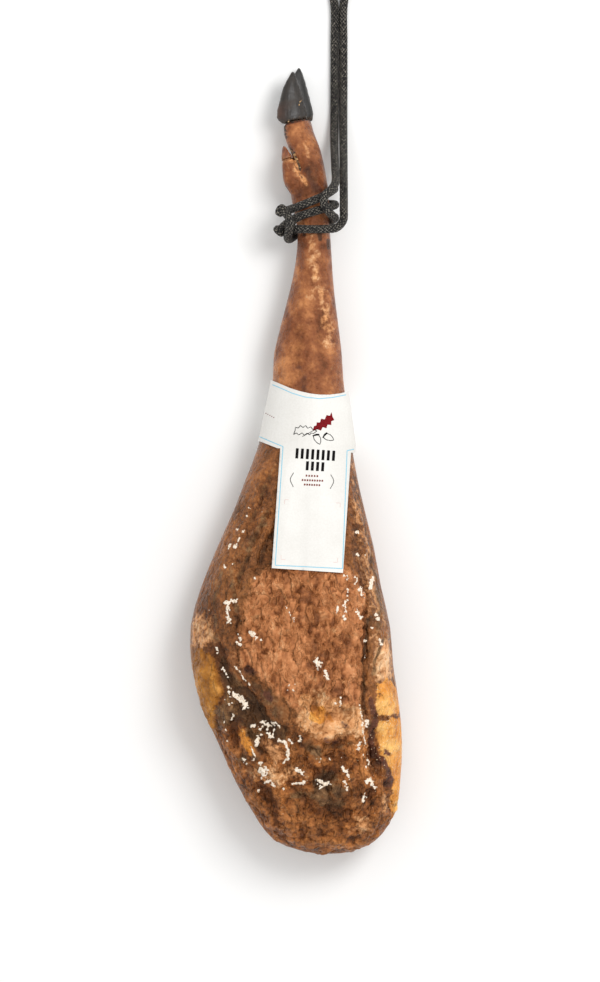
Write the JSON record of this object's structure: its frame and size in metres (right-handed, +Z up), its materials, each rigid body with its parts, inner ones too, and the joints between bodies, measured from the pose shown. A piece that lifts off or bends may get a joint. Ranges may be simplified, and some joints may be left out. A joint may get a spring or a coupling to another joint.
{
  "type": "cured ham",
  "caption": "Whole dry-cured ham leg with the hoof on, lying on its rind, with a blank card label round the shank and a braided cord tied to it.",
  "frame": {"origin": "on the surface that the ham rests on, under the middle of its length and width, without the cord", "axes": "+Z up from the surface to the flesh side, +Y along the leg to the foot, +X to the right seen from above"},
  "size_m": [0.2167, 0.9289, 0.1316],
  "materials": {
    "cured_meat": "satin",
    "hoof_horn": "satin",
    "dewclaw_horn": "satin",
    "card": "matte",
    "braided_cord": "matte"
  },
  "bodies": {
    "root": {"ham": "cured_meat", "hoof_inner": "hoof_horn", "hoof_outer": "hoof_horn", "dewclaw_inner": "dewclaw_horn", "dewclaw_outer": "dewclaw_horn", "label": "card", "rope": "braided_cord"}
  },
  "joints": []
}
